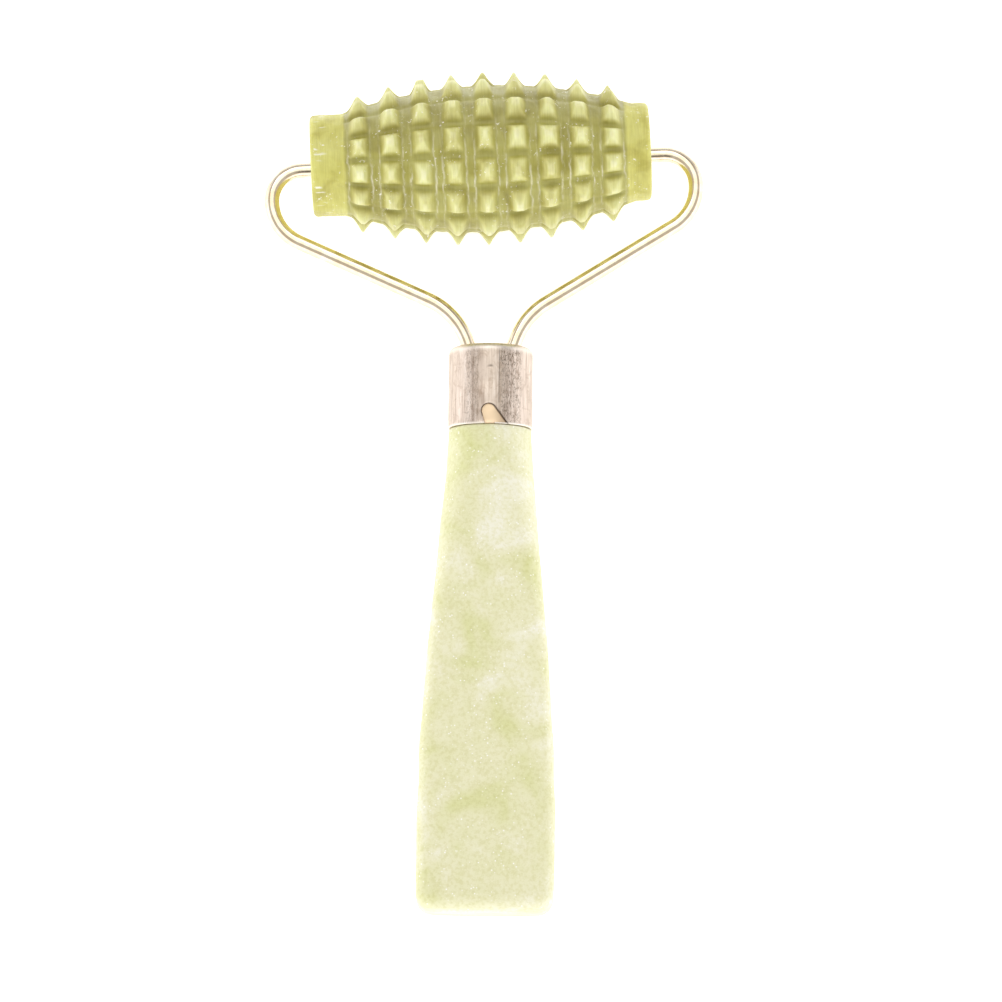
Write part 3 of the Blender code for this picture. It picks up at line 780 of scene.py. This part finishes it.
def polished_pale_jade():
    """Pale serpentine jade, ground and polished: cream clouds in yellow-green, a fine mottle
    of crystals and sparse glints; light goes a little way in, and the polish is soft."""
    material, tree, shader = bare_material("polished_pale_jade")
    grain = add(tree, "ShaderNodeAttribute", attribute_name="grain").outputs["Vector"]
    clouds = add(tree, "ShaderNodeTexNoise", {
        "Vector": grain, "Scale": 1 / 9, "Detail": 4.0, "Roughness": 0.5, "Distortion": 0.6})
    body = add(tree, "ShaderNodeValToRGB", {"Fac": clouds.outputs[0]}, [
        (0.30, "DBDDA4"), (0.43, "E4E4BB"), (0.56, "EAE9C9"), (0.70, "F2F1E1")]).outputs[0]
    mottle = add(tree, "ShaderNodeTexNoise", {
        "Vector": grain, "Scale": 1 / 0.6, "Detail": 3.0, "Roughness": 0.65})
    fine = add(tree, "ShaderNodeValToRGB", {"Fac": mottle.outputs[0]}, [
        (0.36, "F2F1DE"), (0.56, "FFFFFF")]).outputs[0]
    body = add(tree, "ShaderNodeMix", {0: 0.8, 6: body, 7: fine},
               data_type="RGBA", blend_type="MULTIPLY").outputs[2]
    crystals = add(tree, "ShaderNodeTexVoronoi", {"Vector": grain, "Scale": 1 / 0.7})
    glints = add(tree, "ShaderNodeValToRGB", {"Fac": crystals.outputs["Distance"]}, [
        (0.10, "FFFFFF"), (0.25, "000000")]).outputs[0]
    patches = add(tree, "ShaderNodeTexNoise", {"Vector": grain, "Scale": 1 / 2.2, "Detail": 2.0})
    sparse = add(tree, "ShaderNodeValToRGB", {"Fac": patches.outputs[0]}, [
        (0.46, "000000"), (0.60, "FFFFFF")]).outputs[0]
    bright = add(tree, "ShaderNodeMath", {0: glints, 1: sparse}, operation="MULTIPLY")
    body = add(tree, "ShaderNodeMix", {0: bright.outputs[0], 6: body, 7: "FFFFFA"},
               data_type="RGBA").outputs[2]
    relief = add(tree, "ShaderNodeBump", {
        "Height": mottle.outputs[0], "Strength": 0.15, "Distance": 0.05 * MM})
    feed(tree, shader, {
        "Base Color": body, "IOR": 1.56, "Roughness": 0.44, "Normal": relief.outputs[0],
        "Subsurface Weight": 0.3, "Subsurface Radius": (1.0, 0.98, 0.90),
        "Subsurface Scale": 2.5 * MM})
    return material


def turned_olive_jade():
    """Greener serpentine, turned and fluted, dull from the wheel: spikes paler than the olive
    floors, partly the stone's own tone and partly painted light, with painted shade low in
    the floors and flutes and a painted highlight at the tips; lathe lines round the barrel,
    white dust at the rings' feet and small chips."""
    material, tree, shader = bare_material("turned_olive_jade")
    grain = add(tree, "ShaderNodeAttribute", attribute_name="grain").outputs["Vector"]
    marks = {name: add(tree, "ShaderNodeAttribute", attribute_name=name).outputs["Fac"]
             for name in ("spike_share", "flute", "foot_line", "greyed", "collar", "nicks")}
    # Colour by spike share: partly the stone's own paler spikes, partly painted light, darker low down as painted
    # shade and whitish at the tips as a painted highlight.
    body = add(tree, "ShaderNodeValToRGB", {"Fac": marks["spike_share"]}, [
        (0.0, "B8B565"), (0.12, "BFBC6D"), (0.30, "D4D28E"), (0.50, "E4E4A8"),
        (0.80, "E6E8AE"), (1.0, "EFF0C8")]).outputs[0]
    # dark: painted shade in the flutes between the rows of spikes.
    dark = add(tree, "ShaderNodeMath", {0: marks["flute"], 1: 0.55}, operation="MULTIPLY")
    for share, code in ((marks["greyed"], "BDBB90"), (marks["collar"], "DAD880"),
                        (dark.outputs[0], "B2AF5E")):
        body = add(tree, "ShaderNodeMix", {0: share, 6: body, 7: code},
                   data_type="RGBA").outputs[2]
    clouds = add(tree, "ShaderNodeTexNoise", {
        "Vector": grain, "Scale": 1 / 5, "Detail": 4.0, "Distortion": 0.5})
    patchy = add(tree, "ShaderNodeValToRGB", {"Fac": clouds.outputs[0]}, [
        (0.34, "D3CB98"), (0.50, "F4F1DC"), (0.64, "FFFFFF")]).outputs[0]
    body = add(tree, "ShaderNodeMix", {0: 0.7, 6: body, 7: patchy},
               data_type="RGBA", blend_type="MULTIPLY").outputs[2]
    place = add(tree, "ShaderNodeMapping", {"Vector": grain, "Scale": (4.0, 0.25, 0.25)})
    lathe = add(tree, "ShaderNodeTexNoise", {
        "Vector": place.outputs[0], "Scale": 1.0, "Detail": 3.0, "Roughness": 0.6})
    streak = add(tree, "ShaderNodeValToRGB", {"Fac": lathe.outputs[0]}, [
        (0.36, "DDDAC2"), (0.6, "FFFFFF")]).outputs[0]
    body = add(tree, "ShaderNodeMix", {0: 0.35, 6: body, 7: streak},
               data_type="RGBA", blend_type="MULTIPLY").outputs[2]
    drawn = add(tree, "ShaderNodeMapping", {"Vector": grain, "Scale": (1.6, 0.35, 0.35)})
    broken = add(tree, "ShaderNodeTexNoise", {
        "Vector": drawn.outputs[0], "Scale": 1.0, "Detail": 5.0, "Roughness": 0.7})
    some = add(tree, "ShaderNodeValToRGB", {"Fac": broken.outputs[0]}, [
        (0.40, "000000"), (0.62, "FFFFFF")]).outputs[0]
    dust = add(tree, "ShaderNodeMath", {0: marks["foot_line"], 1: some}, operation="MULTIPLY")
    body = add(tree, "ShaderNodeMix", {0: dust.outputs[0], 6: body, 7: "F2F0DA"},
               data_type="RGBA").outputs[2]
    pits = add(tree, "ShaderNodeTexNoise", {
        "Vector": grain, "Scale": 1 / 0.55, "Detail": 3.0, "Roughness": 0.6})
    chip = add(tree, "ShaderNodeValToRGB", {"Fac": pits.outputs[0]}, [
        (0.625, "000000"), (0.675, "FFFFFF")]).outputs[0]
    patches = add(tree, "ShaderNodeTexNoise", {"Vector": grain, "Scale": 1 / 4.0, "Detail": 1.0})
    sparse = add(tree, "ShaderNodeValToRGB", {"Fac": patches.outputs[0]}, [
        (0.50, "000000"), (0.60, "FFFFFF")]).outputs[0]
    chips = add(tree, "ShaderNodeMath", {0: chip, 1: sparse}, operation="MULTIPLY")
    chips = add(tree, "ShaderNodeMath", {0: chips.outputs[0], 1: marks["nicks"]},
                operation="MAXIMUM")
    body = add(tree, "ShaderNodeMix", {0: chips.outputs[0], 6: body, 7: "F4F3E6"},
               data_type="RGBA").outputs[2]
    relief = add(tree, "ShaderNodeBump", {
        "Height": lathe.outputs[0], "Strength": 0.4, "Distance": 0.10 * MM})
    feed(tree, shader, {
        "Base Color": body, "IOR": 1.56, "Roughness": 0.42, "Normal": relief.outputs[0],
        "Subsurface Weight": 0.5, "Subsurface Radius": (1.0, 0.95, 0.5),
        "Subsurface Scale": 1.0 * MM})
    return material


def nickel_plated_sheet():
    """Drawn sheet with warm nickel plating gone dull: upright brush marks, blotches, bands of
    fine dark scratches down the front, a painted highlight along the lip and round the
    shoulder, and painted shade along the pressed tongue's edge, the tool mark and the fold."""
    material, tree, shader = bare_material("nickel_plated_sheet")
    grain = add(tree, "ShaderNodeAttribute", attribute_name="grain").outputs["Vector"]
    marks = {name: add(tree, "ShaderNodeAttribute", attribute_name=name).outputs["Fac"]
             for name in ("crease_shade", "scuffed", "pressed", "rim_shoulder_highlight")}
    upright = add(tree, "ShaderNodeMapping", {"Vector": grain, "Scale": (3.0, 0.15, 3.0)})
    brush = add(tree, "ShaderNodeTexNoise", {
        "Vector": upright.outputs[0], "Scale": 1.0, "Detail": 4.0, "Roughness": 0.6})
    body = add(tree, "ShaderNodeValToRGB", {"Fac": brush.outputs[0]}, [
        (0.32, "B7A599"), (0.46, "CFC0B4"), (0.60, "DDCFC4"), (0.72, "EADFD7")]).outputs[0]
    blotch = add(tree, "ShaderNodeTexNoise", {
        "Vector": grain, "Scale": 1 / 1.6, "Detail": 5.0, "Roughness": 0.7, "Distortion": 1.0})
    stain = add(tree, "ShaderNodeValToRGB", {"Fac": blotch.outputs[0]}, [
        (0.34, "CDC2B6"), (0.50, "FFFFFF")]).outputs[0]
    body = add(tree, "ShaderNodeMix", {0: 0.5, 6: body, 7: stain},
               data_type="RGBA", blend_type="MULTIPLY").outputs[2]
    thin = add(tree, "ShaderNodeMapping", {"Vector": grain, "Scale": (4.5, 1.6, 4.5)})
    lines = add(tree, "ShaderNodeTexNoise", {
        "Vector": thin.outputs[0], "Scale": 1.0, "Detail": 4.0, "Roughness": 0.75,
        "Distortion": 0.8})
    scratch = add(tree, "ShaderNodeValToRGB", {"Fac": lines.outputs[0]}, [
        (0.42, "FFFFFF"), (0.50, "000000")]).outputs[0]
    worn = add(tree, "ShaderNodeMath", {0: scratch, 1: marks["scuffed"]}, operation="MULTIPLY")
    # Over the scratches go the lip and shoulder mark as a painted highlight, the pressed tongue's tint, and the
    # line at the tongue's edge, tool mark and fold as painted shade.
    for share, code in ((worn.outputs[0], "7A6D5F"), (marks["rim_shoulder_highlight"], "F8F0E8"),
                        (marks["pressed"], "E4CDB0"), (marks["crease_shade"], "3A2E24")):
        body = add(tree, "ShaderNodeMix", {0: share, 6: body, 7: code},
                   data_type="RGBA").outputs[2]
    dull = add(tree, "ShaderNodeMapRange", {
        "Value": blotch.outputs[0], "To Min": 0.36, "To Max": 0.52})
    relief = add(tree, "ShaderNodeBump", {
        "Height": brush.outputs[0], "Strength": 0.3, "Distance": 0.03 * MM})
    feed(tree, shader, {
        "Base Color": body, "Metallic": 1.0, "Roughness": dull.outputs[0],
        "Normal": relief.outputs[0]})
    return material


def gold_plated_spring_wire():
    """Drawn spring wire with bright pale gold plating: nearly a mirror, a little cloudy."""
    material, tree, shader = bare_material("gold_plated_spring_wire")
    grain = add(tree, "ShaderNodeAttribute", attribute_name="grain").outputs["Vector"]
    wear = add(tree, "ShaderNodeTexNoise", {
        "Vector": grain, "Scale": 1 / 1.5, "Detail": 4.0, "Roughness": 0.6})
    body = add(tree, "ShaderNodeValToRGB", {"Fac": wear.outputs[0]}, [
        (0.35, "EBD9BC"), (0.65, "F5EAD6")]).outputs[0]
    dull = add(tree, "ShaderNodeMapRange", {
        "Value": wear.outputs[0], "To Min": 0.08, "To Max": 0.18})
    feed(tree, shader, {"Base Color": body, "Metallic": 1.0, "Roughness": dull.outputs[0]})
    return material


def moulded_acetal():
    """Milky acetal: a moulded, slightly waxy plastic with a faint cloudiness."""
    material, tree, shader = bare_material("moulded_acetal")
    grain = add(tree, "ShaderNodeAttribute", attribute_name="grain").outputs["Vector"]
    cloud = add(tree, "ShaderNodeTexNoise", {"Vector": grain, "Scale": 1 / 1.2, "Detail": 3.0})
    body = add(tree, "ShaderNodeValToRGB", {"Fac": cloud.outputs[0]}, [
        (0.35, "DEDDD2"), (0.65, "ECEBE2")]).outputs[0]
    feed(tree, shader, {"Base Color": body, "Roughness": 0.42})
    return material


def cast_resin():
    """Amber casting resin, poured and cured, slightly cloudy."""
    material, tree, shader = bare_material("cast_resin")
    place = add(tree, "ShaderNodeTexCoord").outputs["Object"]
    cloud = add(tree, "ShaderNodeTexNoise", {
        "Vector": place, "Scale": 1 / (2.0 * MM), "Detail": 3.0})
    body = add(tree, "ShaderNodeValToRGB", {"Fac": cloud.outputs[0]}, [
        (0.35, "BDB184"), (0.65, "D2C79C")]).outputs[0]
    feed(tree, shader, {"Base Color": body, "Roughness": 0.35})
    return material


def plain_white_card():
    """Matt white card of the table top, with a barely visible tooth."""
    material, tree, shader = bare_material("plain_white_card")
    place = add(tree, "ShaderNodeTexCoord").outputs["Object"]
    tooth = add(tree, "ShaderNodeTexNoise", {"Vector": place, "Scale": 400.0, "Detail": 2.0})
    body = add(tree, "ShaderNodeValToRGB", {"Fac": tooth.outputs[0]}, [
        (0.3, "F7F7F7"), (0.7, "FBFBFB")]).outputs[0]
    feed(tree, shader, {
        "Base Color": body, "Roughness": 0.9, "Specular IOR Level": 0.0,
        "Emission Color": (1, 1, 1, 1), "Emission Strength": FLOOR_GLOW})
    return material


# ---------------------------------------------------------------- studio

FLOOR_GLOW = 0.6
TABLE_HALF = 2.5                     # metres
VIEW_TILT = math.radians(8.3)        # camera leans this far from the tool's face to the butt
VIEW_ROLL = math.radians(0.62)
VIEW_WIDTH = 172.15                  # millimetres across the picture at the tool's plane
VIEW_SHIFT = (-3.50, 58.775)         # the barrel's middle from the picture's middle
LENS, SENSOR = 200.0, 36.0
GAP_LEAN = math.radians(36)          # the tent's dark gap, from straight up towards the butt
GAP_DIRECTION = (0.0, -math.sin(GAP_LEAN), math.cos(GAP_LEAN))
GAP_REACH = math.radians(6.5)
ROOF_LEAN = math.radians(15)         # the tent's bright panel, from straight up past the head
ROOF_DIRECTION = (-0.05, math.sin(ROOF_LEAN), math.cos(ROOF_LEAN))
ROOF_REACH = math.radians(28)
ROOF_LIGHT = 1.45
WALL_LIGHT, SKY_LIGHT = 1.68, 0.60   # the tent's low walls, and what is above them
BEYOND_HEAD = 0.45                   # share of that light on the head's side
KEY_PLACE, KEY_SIZE, KEY_POWER = (-0.15, 0.60, 0.85), (0.9, 0.5), 1.5


def floor():
    """Plain pale table top."""
    half = TABLE_HALF
    corners = [(-half, -half, 0), (half, -half, 0), (half, half, 0), (-half, half, 0)]
    mesh = bpy.data.meshes.new("table_top")
    mesh.from_pydata(corners, [], [(0, 1, 2, 3)])
    top = bpy.data.objects.new("table_top", mesh)
    bpy.context.scene.collection.objects.link(top)
    mesh.materials.append(plain_white_card())


def key_softbox():
    """A weak rectangular area light behind the head, aimed at the tool."""
    light = bpy.data.lights.new("key", "AREA")
    light.shape = "RECTANGLE"
    light.size, light.size_y = KEY_SIZE
    light.energy = KEY_POWER
    lamp = bpy.data.objects.new("key", light)
    lamp.location = KEY_PLACE
    lamp.rotation_euler = (-Vector(KEY_PLACE)).to_track_quat("-Z", "Y").to_euler()
    bpy.context.scene.collection.objects.link(lamp)


def studio():
    """White tent all round, bright low down and overhead, with one soft dark gap on the
    butt's side that draws a line on the wire, and a key softbox."""
    world = bpy.data.worlds.new("studio")
    bpy.context.scene.world = world
    world.use_nodes = True
    tree = world.node_tree
    place = add(tree, "ShaderNodeTexCoord").outputs["Generated"]
    parts = add(tree, "ShaderNodeSeparateXYZ", {0: place}).outputs
    towards = add(tree, "ShaderNodeVectorMath", {0: place, 1: GAP_DIRECTION},
                  operation="DOT_PRODUCT").outputs["Value"]
    gap = add(tree, "ShaderNodeMapRange", {
        "Value": towards, "From Min": math.cos(GAP_REACH * 1.5),
        "From Max": math.cos(GAP_REACH * 0.7)}, interpolation_type="SMOOTHSTEP").outputs[0]
    tent = add(tree, "ShaderNodeValToRGB", {"Fac": parts["Z"]}, [
        (0.50, "FFFFFF"), (0.72, "FFF4EA"), (0.96, "FDFDF6")]).outputs[0]
    sky = add(tree, "ShaderNodeMix", {0: gap, 6: tent, 7: "2E2822"},
              data_type="RGBA").outputs[2]
    walls = add(tree, "ShaderNodeMapRange", {
        "Value": parts["Z"], "From Min": 0.36, "From Max": 0.64, "To Min": WALL_LIGHT,
        "To Max": SKY_LIGHT}, interpolation_type="SMOOTHSTEP").outputs[0]
    beyond = add(tree, "ShaderNodeMapRange", {
        "Value": parts["Y"], "From Min": 0.2, "From Max": 0.7, "To Min": 1.0,
        "To Max": BEYOND_HEAD}, interpolation_type="SMOOTHSTEP").outputs[0]
    around = add(tree, "ShaderNodeMath", {0: walls, 1: beyond}, operation="MULTIPLY").outputs[0]
    aside = add(tree, "ShaderNodeVectorMath", {0: place, 1: ROOF_DIRECTION},
                operation="DOT_PRODUCT").outputs["Value"]
    roof = add(tree, "ShaderNodeMapRange", {
        "Value": aside, "From Min": math.cos(ROOF_REACH * 1.3),
        "From Max": math.cos(ROOF_REACH * 0.7), "To Max": ROOF_LIGHT},
        interpolation_type="SMOOTHSTEP").outputs[0]
    strength = add(tree, "ShaderNodeMath", {0: around, 1: roof}, operation="MAXIMUM").outputs[0]
    feed(tree, tree.nodes["Background"], {"Color": sky, "Strength": strength})
    key_softbox()


def camera():
    """Long lens above the tool, leaning towards the butt, framed on the barrel's middle."""
    right, up, out = TOOL_AXES
    towards = out * math.cos(VIEW_TILT) - up * math.sin(VIEW_TILT)
    upward = up * math.cos(VIEW_TILT) + out * math.sin(VIEW_TILT)
    side = right * math.cos(VIEW_ROLL) + upward * math.sin(VIEW_ROLL)
    top = upward * math.cos(VIEW_ROLL) - right * math.sin(VIEW_ROLL)
    centre = ROLLER_MIDDLE - (side * VIEW_SHIFT[0] + top * VIEW_SHIFT[1]) * MM
    distance = VIEW_WIDTH * MM / 2 / (SENSOR / 2 / LENS)
    data = bpy.data.cameras.new("camera")
    data.lens, data.sensor_width = LENS, SENSOR
    data.clip_start, data.clip_end = 0.05, 20.0
    eye = bpy.data.objects.new("camera", data)
    turn = Matrix([side, top, towards]).transposed().to_4x4()
    eye.matrix_world = Matrix.Translation(Vector(centre + towards * distance)) @ turn
    bpy.context.scene.collection.objects.link(eye)
    bpy.context.scene.camera = eye


def repaint_resin():
    """Give the hidden resin its finish."""
    node = frame["nodes"]["resin_fill"]
    for material_slot in node.material_slots:
        material_slot.material = cast_resin()


handle()
ferrule()
wire_frame()
roller_stone()
bush("left")
bush("right")
repaint_resin()
floor()
studio()
camera()
bpy.context.scene.view_settings.view_transform = "Standard"

bpy.context.view_layer.update()
